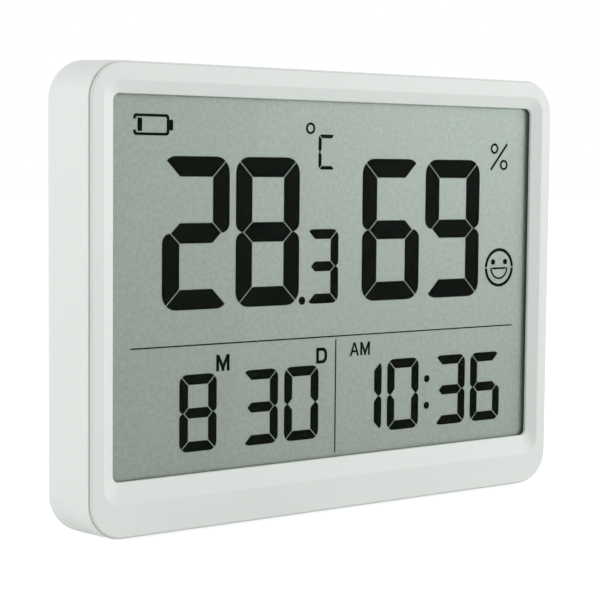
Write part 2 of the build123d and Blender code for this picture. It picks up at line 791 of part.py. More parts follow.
def digit(sign, width, height, stroke):
    """The lit segments of one seven-segment digit, parted by thin gaps."""
    waist = digit_waist_share * width
    loop = Rectangle(width, height / 2, align=(Align.CENTER, Align.MIN))
    top_corners = loop.vertices().group_by(Axis.Y)[-1]
    loop = fillet(top_corners, digit_corner_share * width)
    low_corners = loop.vertices().group_by(Axis.Y)[0]
    loop = fillet(low_corners, waist)
    hole_height = height / 2 - stroke * 3 / 2
    loop -= block(width - 2 * stroke, hole_height, z=stroke / 2 + hole_height / 2)
    ring = loop + mirror(loop, Plane.XZ)
    gaps = []
    for side in (-1, 1):
        for up in (-1, 1):
            mitre_x = side * (width - stroke) / 2
            mitre_z = up * (height - stroke) / 2
            gaps.append(Pos(mitre_x, mitre_z) * Rectangle(2 * stroke, segment_gap, rotation=side * up * 45))
            tip = (side * (width / 2 - waist), 0)
            inside = (side * (width / 2 - 2 * stroke + waist), up * stroke)
            gaps.append(stroke_line(tip, inside, segment_gap))
            gaps.append(disc(segment_gap / 2, *tip))
    side_x = (width - stroke) / 2
    end_z = (height - stroke) / 2
    centres = {"a": (0, end_z), "b": (side_x, height / 4), "c": (side_x, -height / 4), "d": (0, -end_z),
               "e": (-side_x, -height / 4), "f": (-side_x, height / 4), "g": (0, 0)}
    lit = []
    for face in (ring - gaps).faces():
        name = min(centres, key=lambda key: (face.center() - Vector(*centres[key])).length)
        if name in LIT_SEGMENTS[sign] and face.area > stroke * segment_gap:
            lit.append(face)
    return lit


def digits(places_shares, size_shares, stroke_share):
    """Seven-segment digits at their places in the window."""
    width = size_shares[0] * window_width
    height = size_shares[1] * window_height
    faces = []
    for sign, x_share, z_share in places_shares:
        place = Pos(*on_window(x_share, z_share))
        faces += [place * face for face in digit(sign, width, height, stroke_share * height)]
    return faces


def dot(shares):
    """A round dot in the window."""
    return disc(shares[2] * window_height, *on_window(shares[0], shares[1]))


def stroke_line(start, end, width):
    """A straight stroke between two places."""
    run = Vector(*end) - Vector(*start)
    middle = (Vector(*start) + Vector(*end)) / 2
    angle = degrees(atan2(run.Y, run.X))
    return Pos(middle.X, middle.Y) * Rectangle(run.length, width, rotation=angle)


def letter(sign, width, height, stroke):
    """A plain capital in a box round its middle."""
    right = width / 2
    top = height / 2
    if sign == "D":
        bowl = min(right, top)
        body = Rectangle(width, height)
        body = fillet(body.vertices().group_by(Axis.X)[-1], letter_bowl_share * bowl)
        hole = Rectangle(width - 2 * stroke, height - 2 * stroke)
        return body - fillet(hole.vertices().group_by(Axis.X)[-1], letter_bowl_share * (bowl - stroke))
    if sign == "A":
        body = Polygon((-right, -top), (-stroke / 2, top), (stroke / 2, top), (right, -top))
        counter = Polygon((stroke - right, -top), (0, top - stroke), (right - stroke, -top))
        counter -= block(width, letter_bar_share * stroke, z=-letter_bar_drop_share * height)
        return body - counter
    posts = [block(stroke, height, x=side * (right - stroke / 2)) for side in (-1, 1)]
    slants = [stroke_line((side * (right - stroke / 2), top), (0, stroke - top), stroke) for side in (-1, 1)]
    foot = stroke_line((0, -top), (0, 0), stroke)
    return (posts[0] + posts[1] + slants[0] + slants[1] + foot) & letter_m_room(width, height, stroke)


def letter_m_room(width, height, stroke):
    """The space that an M fills: its box without the wedge above its middle and the two below."""
    right = width / 2
    top = height / 2
    room = Rectangle(width, height)
    wedge = Polygon((-right + 3 * stroke / 2, top), (0, 2 * stroke - top), (right - 3 * stroke / 2, top))
    room -= wedge
    for side in (-1, 1):
        outer = side * (right - stroke)
        room -= Polygon((outer, -top), (side * stroke / 2, -top), (outer, top - 2 * stroke))
    return room


def battery_mark():
    """Battery sign: outline open at its left end, one bar of charge and a nub."""
    width = battery_mark_shares[2] * window_width
    height = battery_mark_shares[3] * window_height
    stroke = battery_stroke_share * height
    corner = battery_corner_share * height
    shell = RectangleRounded(width, height, corner)
    shell -= RectangleRounded(width - 2 * stroke, height - 2 * stroke, corner - stroke / 2)
    shell -= block(2 * stroke, battery_opening_share * height, x=-width / 2 + stroke / 2)
    nub_width = battery_nub_shares[0] * width
    shell += block(nub_width, battery_nub_shares[1] * height, x=width / 2 + nub_width / 2)
    bar_x, bar_width, bar_height = battery_bar_shares
    charge = block(bar_width * width, bar_height * height, x=bar_x * width)
    place = Pos(*on_window(battery_mark_shares[0], battery_mark_shares[1]))
    return [place * face for face in (shell + charge).faces()]


def comfort_mark():
    """Comfort sign: a round face in two half rings, with two eyes and an open mouth."""
    radius = face_shares[2] * window_height
    stroke = face_stroke_share * radius
    ring = disc(radius) - disc(radius - stroke)
    ring -= block(3 * radius, face_split_share * radius)
    eye_x, eye_z, eye_radius = [share * radius for share in eye_shares]
    eyes = [disc(eye_radius, side * eye_x, eye_z) for side in (-1, 1)]
    lip_half, lip_z, lip_stroke = [share * radius for share in mouth_line_shares]
    line = block(2 * lip_half, lip_stroke, z=lip_z)
    bowl, bowl_stroke = [share * radius for share in smile_shares]
    smile = disc(bowl) - disc(bowl - bowl_stroke)
    smile -= block(3 * radius, 2 * radius, z=radius)
    place = Pos(*on_window(face_shares[0], face_shares[1]))
    return [place * face for mark in (ring, *eyes, line, smile) for face in mark.faces()]


def unit_marks():
    """Degree ring and C, percent sign, M, D and AM."""
    marks = digits(unit_places_shares, unit_letter_shares, unit_stroke_share)
    for x_share, z_share, radius_share in rings_shares:
        radius = radius_share * window_height
        ring = disc(radius) - disc(radius - ring_stroke_share * window_height)
        marks.append(Pos(*on_window(x_share, z_share)) * ring)
    start, end = [on_window(*shares) for shares in slash_shares]
    marks.append(stroke_line(start, end, slash_stroke_share * window_height))
    for sign, x_share, z_share, width_share, height_share, stroke_share in letters_shares:
        height = height_share * window_height
        shape = letter(sign, width_share * window_width, height, stroke_share * height)
        marks.append(Pos(*on_window(x_share, z_share)) * shape)
    return marks


def divider_lines():
    """The line under the readings and the line between date and time."""
    stroke = divider_stroke_share * window_height
    left, right, across_z = across_divider_shares
    upright_x, low, high = upright_divider_shares
    return [stroke_line(on_window(left, across_z), on_window(right, across_z), stroke),
            stroke_line(on_window(upright_x, low), on_window(upright_x, high), stroke)]


def segments(marks):
    """Display marks as thin solids between the two glasses."""
    return [solid for mark in marks for solid in slab(mark, segment_depth, segment_thickness).solids()]


def cell(z, side):
    """An AAA cell that lies along X, with its positive nub at this side."""
    body_length = cell_length - cell_nub_length
    body = Cylinder(cell_diameter / 2, body_length, align=(Align.CENTER, Align.CENTER, Align.MIN))
    body = fillet(body.edges(), cell_edge_round)
    body += Pos(0, 0, body_length) * Cylinder(cell_nub_radius, cell_nub_length,
                                               align=(Align.CENTER, Align.CENTER, Align.MIN))
    end = side * (bay_length / 2 - contact_thickness - contact_gap)
    start = end - side * cell_length
    return Plane((start, level(cell_depth), z), z_dir=(side, 0, 0)) * body


def contact_plate(z, side, width):
    """A flat contact against an end wall of the bay."""
    inner = side * (bay_length - contact_thickness) / 2
    plate = block(contact_thickness, width, x=inner, z=z)
    return slab(plate, cell_depth - contact_width / 2, contact_width)


def contact_leaf(z, side):
    """A bowed leaf that presses on a cell's flat end."""
    sag = leaf_reach - contact_gap
    chord = contact_width / 2
    radius = (chord * chord + sag * sag) / (2 * sag)
    face_x = side * (bay_length / 2 - contact_thickness)
    y = level(cell_depth)
    bow = Pos(face_x + side * (radius - sag), y) * (Circle(radius) - Circle(radius - leaf_thickness))
    keep = Pos(face_x - side * leaf_reach / 2, y) * Rectangle(leaf_reach, contact_width)
    return extrude(Plane.XY.offset(z - leaf_width / 2) * (bow & keep), leaf_width)


def terminal(z):
    """The tag that takes a contact out through the bay's end wall to its lead."""
    length = bay_wall + terminal_reach
    tag = block(length, terminal_width, x=-(bay_length + length) / 2, z=z)
    return slab(tag, cell_depth - contact_thickness / 2, contact_thickness)


def positive_contact():
    """Flat contact of the lower cell's nub, with its tag."""
    return contact_plate(lower_cell_z, -1, contact_width) + terminal(lower_cell_z)


def negative_contact():
    """Leaf contact of the upper cell's flat end, with its tag."""
    plate = contact_plate(upper_cell_z, -1, contact_width)
    return plate + contact_leaf(upper_cell_z, -1) + terminal(upper_cell_z)


def bridge_contact():
    """One strip that joins the upper cell's nub to the lower cell's flat end."""
    width = upper_cell_z - lower_cell_z + contact_width
    return contact_plate(door_z, 1, width) + contact_leaf(lower_cell_z, 1)


def battery_lead(z, run):
    """An insulated lead from a terminal's end, down beside the bay and onto the board."""
    start_x = -bay_length / 2 - bay_wall - terminal_reach
    y = level(cell_depth)
    pad_z = board_top - lead_pad_drop
    points = [(start_x, y, z), (start_x - run, y, z), (start_x - run, y, pad_z),
              (start_x - run, level(board_back), pad_z)]
    path = FilletPolyline(*points, radius=lead_bend)
    return sweep(Plane(path @ 0, z_dir=path % 0) * Circle(lead_radius), path)


def build():
    """Every node by name, each a list of solids."""
    nodes = {
        "front_bezel": front_bezel(),
        "rear_cover": rear_cover(),
        "battery_door": battery_door(),
        "stand_leg": stand_leg(),
        "case_screws": case_screws(),
        "board_screws": board_screws(),
        "main_board": main_board(),
        "resin_drop": resin_drop(),
        "watch_crystal": watch_crystal(),
        "chip_resistors": chips(resistor_size, resistor_place_shares),
        "chip_capacitors": chips(capacitor_size, capacitor_place_shares),
        "humidity_sensor": humidity_sensor(),
        "thermistor": thermistor(),
        "switch_bodies": switch_bodies(),
        "switch_plates": switch_plates(),
        "contact_strip": contact_strip(),
        "display_gasket": display_gasket(),
        "front_polariser": front_polariser(),
        "front_glass": front_glass(),
        "rear_glass": rear_glass(),
        "rear_reflector": rear_reflector(),
        "upper_cell": cell(upper_cell_z, 1),
        "lower_cell": cell(lower_cell_z, -1),
        "positive_contact": positive_contact(),
        "negative_contact": negative_contact(),
        "bridge_contact": bridge_contact(),
        "red_lead": battery_lead(lower_cell_z, lead_first_run),
        "black_lead": battery_lead(upper_cell_z, lead_first_run + lead_spacing),
    }
    for name, z in zip(button_names, button_zs):
        nodes[name + "_button"] = button_cap(name, z)
        nodes[name + "_plunger"] = switch_plunger(z)
    temperature = digits(temperature_places_shares, large_digit_shares, digit_stroke_share)
    temperature += digits(decimal_places_shares, decimal_digit_shares, digit_stroke_share)
    clock = digits(time_places_shares, small_digit_shares, digit_stroke_share)
    humidity = digits(humidity_places_shares, large_digit_shares, digit_stroke_share)
    date = digits(date_places_shares, small_digit_shares, digit_stroke_share)
    nodes["temperature_digits"] = segments(temperature + [dot(decimal_dot_shares)])
    nodes["humidity_digits"] = segments(humidity)
    nodes["date_digits"] = segments(date)
    nodes["time_digits"] = segments(clock + [dot(shares) for shares in colon_dots_shares])
    nodes["unit_marks"] = segments(unit_marks())
    nodes["battery_mark"] = segments(battery_mark())
    nodes["comfort_mark"] = segments(comfort_mark())
    nodes["divider_lines"] = segments(divider_lines())
    return nodes


os.makedirs("parts", exist_ok=True)
for node, shape in build().items():
    pieces = shape if isinstance(shape, list) else [shape]
    solids = [Pos(0, 0, case_flare) * solid for piece in pieces for solid in piece.solids()]
    export_step(solids[0] if len(solids) == 1 else Compound(solids), f"parts/{node}.step")
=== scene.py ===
from math import pi, radians

import bmesh
import bpy
from mathutils import Matrix, Vector


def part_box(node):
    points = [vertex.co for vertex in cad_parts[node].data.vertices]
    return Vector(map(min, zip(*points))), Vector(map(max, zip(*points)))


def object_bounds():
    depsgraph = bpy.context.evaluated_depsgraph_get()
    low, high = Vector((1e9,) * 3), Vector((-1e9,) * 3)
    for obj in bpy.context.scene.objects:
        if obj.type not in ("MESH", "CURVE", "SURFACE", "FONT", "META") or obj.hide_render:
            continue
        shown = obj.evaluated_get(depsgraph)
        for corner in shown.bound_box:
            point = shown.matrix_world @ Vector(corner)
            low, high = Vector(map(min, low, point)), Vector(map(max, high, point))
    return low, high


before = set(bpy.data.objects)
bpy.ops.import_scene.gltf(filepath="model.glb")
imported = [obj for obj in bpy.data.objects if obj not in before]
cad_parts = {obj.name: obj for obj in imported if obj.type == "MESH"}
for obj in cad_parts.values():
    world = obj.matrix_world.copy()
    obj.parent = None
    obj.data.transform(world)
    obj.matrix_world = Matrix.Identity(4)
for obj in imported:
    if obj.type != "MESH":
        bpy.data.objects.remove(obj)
cad_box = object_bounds()


# Front bezel: the white frame round the display, with its bevel, lip and screw posts. It is
# injection moulded in ABS, in a tool whose walls are lightly spark-eroded, so it is evenly matt.
# Ribs on its skirt snap into the rear cover, and two screws draw its lower side in.
MM = 0.001
ABS_WHITE = "#E5EAE6"
ABS_SHADE = "#E1E6E2"
ABS_FLOW_MM = 30
ABS_TEXTURE_MM = 0.6
ABS_TEXTURE_DEPTH_MM = 0.012
ABS_ROUGHNESS = (0.46, 0.58)


def linear(colour):
    """An sRGB hex colour as linear red, green, blue and alpha."""
    shares = [int(colour[start:start + 2], 16) / 255 for start in (1, 3, 5)]
    return [share / 12.92 if share <= 0.04045 else ((share + 0.055) / 1.055) ** 2.4 for share in shares] + [1]


def per(size_mm):
    """The scale of a pattern that repeats about once in this many millimetres."""
    return 1 / (size_mm * MM)


def add_node(material, kind, settings=None, links=None):
    """A node of this kind, or the one that the material starts with, with its settings and links."""
    nodes = material.node_tree.nodes
    node = nodes.get(kind) or nodes.new(kind)
    inputs = {name: socket for socket in reversed(node.inputs) for name in (socket.name, socket.identifier)}
    for name, value in (settings or {}).items():
        if name in inputs:
            inputs[name].default_value = value
        else:
            setattr(node, name, value)
    for name, (source, wanted) in (links or {}).items():
        output = next(socket for socket in source.outputs if wanted in (socket.name, socket.identifier))
        material.node_tree.links.new(output, inputs[name])
    return node


def start_material(name):
    """A new material with its shader, and the Object coordinates that its patterns follow."""
    material = bpy.data.materials.new(name)
    material.use_nodes = True
    return material, (add_node(material, "ShaderNodeTexCoord"), "Object")


def finish_in(material, *names):
    """Gives CAD nodes their finish."""
    for name in names:
        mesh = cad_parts[name].data
        mesh.materials.clear()
        mesh.materials.append(material)


# Moulded ABS is opaque and evenly pale, with a soft broad sheen. Its colour drifts a little with
# the flow of the melt, and the tool's texture, drawn coarser than its real grit, breaks the sheen.
moulded_abs, place = start_material("moulded_white_abs")
flow = add_node(moulded_abs, "ShaderNodeTexNoise", {"Scale": per(ABS_FLOW_MM), "Detail": 2.0},
                {"Vector": place})
tone = add_node(moulded_abs, "ShaderNodeMix",
                {"data_type": "RGBA", "A_Color": linear(ABS_SHADE), "B_Color": linear(ABS_WHITE)},
                {"Factor_Float": (flow, "Fac")})
grit = add_node(moulded_abs, "ShaderNodeTexNoise", {"Scale": per(ABS_TEXTURE_MM), "Detail": 2.0},
                {"Vector": place})
sheen = add_node(moulded_abs, "ShaderNodeMapRange",
                 {"To Min": ABS_ROUGHNESS[0], "To Max": ABS_ROUGHNESS[1]}, {"Value": (grit, "Fac")})
relief = add_node(moulded_abs, "ShaderNodeBump", {"Strength": 0.5, "Distance": ABS_TEXTURE_DEPTH_MM * MM},
                  {"Height": (grit, "Fac")})
add_node(moulded_abs, "Principled BSDF", {"IOR": 1.53, "Specular IOR Level": 0.5},
         {"Base Color": (tone, "Result_Color"), "Roughness": (sheen, "Result"),
          "Normal": (relief, "Normal")})
finish_in(moulded_abs, "front_bezel")


# Display gasket: a pale frame of thin closed-cell foam tape, stuck to the back of the bezel's lip.
# It holds the display against the lip and keeps dust out.
FOAM_DARK = "#D5DAD6"
FOAM_PALE = "#E1E6E2"
FOAM_CELL_MM = 0.35
FOAM_CELL_DEPTH_MM = 0.05

# Foam rubber is dull, with small open cells on its cut edge.
foam, place = start_material("closed_cell_foam")
cells = add_node(foam, "ShaderNodeTexVoronoi", {"Scale": per(FOAM_CELL_MM)}, {"Vector": place})
tone = add_node(foam, "ShaderNodeMix",
                {"data_type": "RGBA", "A_Color": linear(FOAM_DARK), "B_Color": linear(FOAM_PALE)},
                {"Factor_Float": (cells, "Distance")})
relief = add_node(foam, "ShaderNodeBump", {"Strength": 0.5, "Distance": FOAM_CELL_DEPTH_MM * MM},
                  {"Height": (cells, "Distance")})
add_node(foam, "Principled BSDF", {"Roughness": 0.9, "Specular IOR Level": 0.2},
         {"Base Color": (tone, "Result_Color"), "Normal": (relief, "Normal")})
finish_in(foam, "display_gasket")


# Front polariser: a dark clear film with an anti-glare coat, rolled onto the front glass.
# It takes a little light away and gives almost no reflection.
POLARISER_GREY = "#1C211E"
POLARISER_GRAIN_MM = 0.3
POLARISER_ROUGHNESS = (0.5, 0.7)

# A polarising film is a neutral grey filter, and the fine grain of its coat makes it matt.
polariser, place = start_material("polarising_film")
grain = add_node(polariser, "ShaderNodeTexNoise", {"Scale": per(POLARISER_GRAIN_MM)}, {"Vector": place})
haze = add_node(polariser, "ShaderNodeMapRange",
                {"To Min": POLARISER_ROUGHNESS[0], "To Max": POLARISER_ROUGHNESS[1]},
                {"Value": (grain, "Fac")})
add_node(polariser, "Principled BSDF",
         {"Base Color": linear(POLARISER_GREY), "IOR": 1.49, "Specular IOR Level": 0.1, "Alpha": 0.06},
         {"Roughness": (haze, "Result")})
finish_in(polariser, "front_polariser")


# Front glass: a thin pane of cut float glass, longer at the bottom, where its ledge
# carries the contacts that the rubber strip presses on.
GLASS_TINT = "#2B3631"
GLASS_WAVE_MM = 40
GLASS_ROUGHNESS = (0.04, 0.1)

# Thin float glass is clear, with a green tint and a very faint waviness.
float_glass, place = start_material("float_glass")
wave = add_node(float_glass, "ShaderNodeTexNoise", {"Scale": per(GLASS_WAVE_MM)}, {"Vector": place})
gloss = add_node(float_glass, "ShaderNodeMapRange",
                 {"To Min": GLASS_ROUGHNESS[0], "To Max": GLASS_ROUGHNESS[1]}, {"Value": (wave, "Fac")})
add_node(float_glass, "Principled BSDF",
         {"Base Color": linear(GLASS_TINT), "IOR": 1.52, "Specular IOR Level": 0.1, "Alpha": 0.03},
         {"Roughness": (gloss, "Result")})
finish_in(float_glass, "front_glass")


# Display segments: the digits, signs and lines that the liquid crystal makes between the two
# glasses where a voltage turns it dark. Thin gaps part each digit's seven segments.
SEGMENT_BLACK = "#12160F"
SEGMENT_GREY = "#161A16"
SEGMENT_MOTTLE_MM = 3

# Switched liquid crystal lets hardly any light through, so it is an even, dull near-black.
dark_crystal, place = start_material("dark_liquid_crystal")
mottle = add_node(dark_crystal, "ShaderNodeTexNoise", {"Scale": per(SEGMENT_MOTTLE_MM)}, {"Vector": place})
tone = add_node(dark_crystal, "ShaderNodeMix",
                {"data_type": "RGBA", "A_Color": linear(SEGMENT_BLACK), "B_Color": linear(SEGMENT_GREY)},
                {"Factor_Float": (mottle, "Fac")})
add_node(dark_crystal, "Principled BSDF", {"Roughness": 0.7, "Specular IOR Level": 0.0},
         {"Base Color": (tone, "Result_Color")})
finish_in(dark_crystal, "temperature_digits", "humidity_digits", "date_digits", "time_digits",
          "unit_marks", "battery_mark", "comfort_mark", "divider_lines")


# Rear glass: the display's second pane. The clear liquid crystal on it, seen against the
# reflector behind, is the grey-green ground that the digits stand out from.
GROUND_GREEN = "#9DA8A0"
GROUND_PALE = "#A8B3AB"
GROUND_GRAIN_MM = 0.8
GROUND_GRAIN_SPREAD = (0.3, 0.7)
GROUND_ROUGHNESS = (0.36, 0.44)

# Clear liquid crystal before a satin reflector has a soft sheen like brushed metal: paler where
# it faces the light, with a very fine grain, drawn coarser here so that it shows.
clear_crystal, place = start_material("clear_liquid_crystal")
grain = add_node(clear_crystal, "ShaderNodeTexNoise", {"Scale": per(GROUND_GRAIN_MM), "Detail": 1.0},
                 {"Vector": place})
mottle = add_node(clear_crystal, "ShaderNodeMapRange",
                  {"From Min": GROUND_GRAIN_SPREAD[0], "From Max": GROUND_GRAIN_SPREAD[1]},
                  {"Value": (grain, "Fac")})
tone = add_node(clear_crystal, "ShaderNodeMix",
                {"data_type": "RGBA", "A_Color": linear(GROUND_GREEN), "B_Color": linear(GROUND_PALE)},
                {"Factor_Float": (mottle, "Result")})
satin = add_node(clear_crystal, "ShaderNodeMapRange",
                 {"To Min": GROUND_ROUGHNESS[0], "To Max": GROUND_ROUGHNESS[1]}, {"Value": (grain, "Fac")})
add_node(clear_crystal, "Principled BSDF", {"Metallic": 0.55, "Specular IOR Level": 0.1},
         {"Base Color": (tone, "Result_Color"), "Roughness": (satin, "Result")})
finish_in(clear_crystal, "rear_glass")


# Rear reflector: a satin aluminium film on the back of the rear glass, which sends the room's
# light back through the display.
FILM_SILVER = "#A9B0AB"
FILM_DARK = "#9AA19C"
FILM_LINE_MM = (8, 8, 0.3)

# Rolled aluminium film has fine lines along its length.
satin_film, place = start_material("satin_aluminium_film")
rolled = add_node(satin_film, "ShaderNodeMapping", {"Scale": [per(size) for size in FILM_LINE_MM]},
                  {"Vector": place})
lines = add_node(satin_film, "ShaderNodeTexNoise", {"Scale": 1.0, "Detail": 2.0},
                 {"Vector": (rolled, "Vector")})
tone = add_node(satin_film, "ShaderNodeMix",
                {"data_type": "RGBA", "A_Color": linear(FILM_DARK), "B_Color": linear(FILM_SILVER)},
                {"Factor_Float": (lines, "Fac")})
add_node(satin_film, "Principled BSDF", {"Metallic": 1.0, "Roughness": 0.4},
         {"Base Color": (tone, "Result_Color")})
finish_in(satin_film, "rear_reflector")


# Contact strip: a bar of silicone rubber, sliced from a block of thin conducting and insulating
# layers. The board squeezes it against the glass ledge, and no solder is needed.
STRIP_BLACK = "#141414"
STRIP_GREY = "#5C5F5E"
STRIP_LAYER_MM = 0.4

# Blender's wave texture turns through 20 radians in each unit of its scale.
WAVE_TURN = 2 * pi / 20

# Layered silicone shows fine upright stripes, drawn wider here than the real tenth of a millimetre.
layered_rubber, place = start_material("layered_silicone_rubber")
layers = add_node(layered_rubber, "ShaderNodeTexWave", {"Scale": WAVE_TURN * per(STRIP_LAYER_MM)},
                  {"Vector": place})
tone = add_node(layered_rubber, "ShaderNodeMix",
                {"data_type": "RGBA", "A_Color": linear(STRIP_BLACK), "B_Color": linear(STRIP_GREY)},
                {"Factor_Float": (layers, "Fac")})
add_node(layered_rubber, "Principled BSDF", {"Roughness": 0.75}, {"Base Color": (tone, "Result_Color")})
finish_in(layered_rubber, "contact_strip")


# Main board: glass-fibre laminate under green solder mask, with copper tracks that show through
# as paler lines. Three screws hold it to the bezel's posts.
MASK_GREEN = "#1F5B36"
TRACK_GREEN = "#3B8A52"
TRACK_PITCH_MM = (9, 1.6)
TRACK_SHARE = 0.06
TRACK_RISE_MM = 0.03

# Solder mask is a thin glossy lacquer, raised a little over each track.
solder_mask, place = start_material("green_solder_mask")
upright = add_node(solder_mask, "ShaderNodeMapping", {"Rotation": (radians(-90), 0, 0)}, {"Vector": place})
tracks = add_node(solder_mask, "ShaderNodeTexBrick",
                  {"Color1": (0, 0, 0, 1), "Color2": (0, 0, 0, 1), "Mortar": (1, 1, 1, 1), "Scale": 1.0,
                   "Mortar Size": TRACK_PITCH_MM[1] * MM * TRACK_SHARE,
                   "Brick Width": TRACK_PITCH_MM[0] * MM, "Row Height": TRACK_PITCH_MM[1] * MM},
                  {"Vector": (upright, "Vector")})
tone = add_node(solder_mask, "ShaderNodeMix",
                {"data_type": "RGBA", "A_Color": linear(MASK_GREEN), "B_Color": linear(TRACK_GREEN)},
                {"Factor_Float": (tracks, "Color")})
relief = add_node(solder_mask, "ShaderNodeBump", {"Strength": 0.6, "Distance": TRACK_RISE_MM * MM},
                  {"Height": (tracks, "Color")})
add_node(solder_mask, "Principled BSDF", {"Roughness": 0.35},
         {"Base Color": (tone, "Result_Color"), "Normal": (relief, "Normal")})
finish_in(solder_mask, "main_board")


# Resin drop, chip resistors and thermistor bead: black epoxy, poured over the controller chip,
# printed over each resistor's film, and dipped round the thermistor.
EPOXY_BLACK = "#0E0F10"
EPOXY_GREY = "#1B1C1E"
EPOXY_RIPPLE_MM = 2.5
EPOXY_RIPPLE_DEPTH_MM = 0.1

# Cast epoxy sets glossy, with a slight ripple like orange peel.
cast_epoxy, place = start_material("cast_black_epoxy")
ripple = add_node(cast_epoxy, "ShaderNodeTexNoise", {"Scale": per(EPOXY_RIPPLE_MM), "Detail": 1.0},
                  {"Vector": place})
tone = add_node(cast_epoxy, "ShaderNodeMix",
                {"data_type": "RGBA", "A_Color": linear(EPOXY_BLACK), "B_Color": linear(EPOXY_GREY)},
                {"Factor_Float": (ripple, "Fac")})
relief = add_node(cast_epoxy, "ShaderNodeBump", {"Strength": 0.4, "Distance": EPOXY_RIPPLE_DEPTH_MM * MM},
                  {"Height": (ripple, "Fac")})
add_node(cast_epoxy, "Principled BSDF", {"Roughness": 0.22, "IOR": 1.55},
         {"Base Color": (tone, "Result_Color"), "Normal": (relief, "Normal")})
finish_in(cast_epoxy, "resin_drop", "chip_resistors", "thermistor")


# Chip capacitors: small blocks of fired tan ceramic, soldered to the board.
# Humidity sensor: an alumina plate on two pins, printed with a comb of carbon lines.
CERAMIC_TAN = "#9C7C58"
CERAMIC_PALE = "#B0906A"
CERAMIC_SPECK_MM = 0.4
ALUMINA_WHITE = "#E9E8E1"
COMB_GREY = "#57544E"
COMB_PITCH_MM = 1.2
COMB_LINE_LEVEL = 0.6

# Fired ceramic is dull and finely speckled.
tan_ceramic, place = start_material("fired_tan_ceramic")
specks = add_node(tan_ceramic, "ShaderNodeTexNoise", {"Scale": per(CERAMIC_SPECK_MM)}, {"Vector": place})
tone = add_node(tan_ceramic, "ShaderNodeMix",
                {"data_type": "RGBA", "A_Color": linear(CERAMIC_TAN), "B_Color": linear(CERAMIC_PALE)},
                {"Factor_Float": (specks, "Fac")})
add_node(tan_ceramic, "Principled BSDF", {"Roughness": 0.55}, {"Base Color": (tone, "Result_Color")})
finish_in(tan_ceramic, "chip_capacitors")

# Alumina is chalk white, and the printed comb crosses it in even dark lines, where the wave is
# above its line level.
alumina, place = start_material("printed_alumina")
comb = add_node(alumina, "ShaderNodeTexWave", {"Scale": WAVE_TURN * per(COMB_PITCH_MM)}, {"Vector": place})
printed = add_node(alumina, "ShaderNodeMath", {"operation": "GREATER_THAN", "Value_001": COMB_LINE_LEVEL},
                   {"Value": (comb, "Fac")})
tone = add_node(alumina, "ShaderNodeMix",
                {"data_type": "RGBA", "A_Color": linear(ALUMINA_WHITE), "B_Color": linear(COMB_GREY)},
                {"Factor_Float": (printed, "Value")})
add_node(alumina, "Principled BSDF", {"Roughness": 0.6}, {"Base Color": (tone, "Result_Color")})
finish_in(alumina, "humidity_sensor")


# Tact switches: black nylon bodies and plungers, moulded, each body closed by a stamped steel
# plate that keeps its plunger in. They are soldered in a column behind the buttons.
NYLON_BLACK = "#161718"
NYLON_GREY = "#242628"
NYLON_SPECK_MM = 0.5

# Glass-filled nylon is dark and dull, with pale specks of fibre.
nylon, place = start_material("black_nylon")
specks = add_node(nylon, "ShaderNodeTexNoise", {"Scale": per(NYLON_SPECK_MM), "Detail": 3.0},
                  {"Vector": place})
tone = add_node(nylon, "ShaderNodeMix",
                {"data_type": "RGBA", "A_Color": linear(NYLON_BLACK), "B_Color": linear(NYLON_GREY)},
                {"Factor_Float": (specks, "Fac")})
add_node(nylon, "Principled BSDF", {"Roughness": 0.5, "IOR": 1.53}, {"Base Color": (tone, "Result_Color")})
finish_in(nylon, "switch_bodies", "set_plunger", "up_plunger", "down_plunger")


# Plated steel: the switches' plates, the watch crystal's can, the screws and the cells' contacts.
# They are stamped, drawn or turned, then plated with nickel so that they don't rust.
NICKEL_PALE = "#C9C7C0"
NICKEL_DARK = "#AFADA6"
NICKEL_LINE_MM = (3, 3, 0.25)
NICKEL_ROUGHNESS = (0.22, 0.38)

# Nickel plate is a warm bright metal, and the rolled steel's lines still show through it.
nickel, place = start_material("nickel_plated_steel")
rolled = add_node(nickel, "ShaderNodeMapping", {"Scale": [per(size) for size in NICKEL_LINE_MM]},
                  {"Vector": place})
lines = add_node(nickel, "ShaderNodeTexNoise", {"Scale": 1.0, "Detail": 3.0}, {"Vector": (rolled, "Vector")})
tone = add_node(nickel, "ShaderNodeMix",
                {"data_type": "RGBA", "A_Color": linear(NICKEL_DARK), "B_Color": linear(NICKEL_PALE)},
                {"Factor_Float": (lines, "Fac")})
polish = add_node(nickel, "ShaderNodeMapRange",
                  {"To Min": NICKEL_ROUGHNESS[0], "To Max": NICKEL_ROUGHNESS[1]}, {"Value": (lines, "Fac")})
add_node(nickel, "Principled BSDF", {"Metallic": 1.0},
         {"Base Color": (tone, "Result_Color"), "Roughness": (polish, "Result")})
finish_in(nickel, "switch_plates", "watch_crystal", "board_screws", "case_screws",
          "positive_contact", "negative_contact", "bridge_contact")


# Battery leads: two short lengths of stranded wire in PVC, red from the positive contact and
# black from the negative one, soldered to the board.
LEAD_COLOURS = {"red_lead": ("#A81F1A", "#C02B24"), "black_lead": ("#131313", "#202020")}
LEAD_MARK_MM = 1.5

# Extruded PVC is smooth and a little waxy.
for name, (dark, pale) in LEAD_COLOURS.items():
    pvc, place = start_material("extruded_pvc_" + name)
    marks = add_node(pvc, "ShaderNodeTexNoise", {"Scale": per(LEAD_MARK_MM)}, {"Vector": place})
    tone = add_node(pvc, "ShaderNodeMix",
                    {"data_type": "RGBA", "A_Color": linear(dark), "B_Color": linear(pale)},
                    {"Factor_Float": (marks, "Fac")})
    add_node(pvc, "Principled BSDF", {"Roughness": 0.38, "IOR": 1.53}, {"Base Color": (tone, "Result_Color")})
    finish_in(pvc, name)


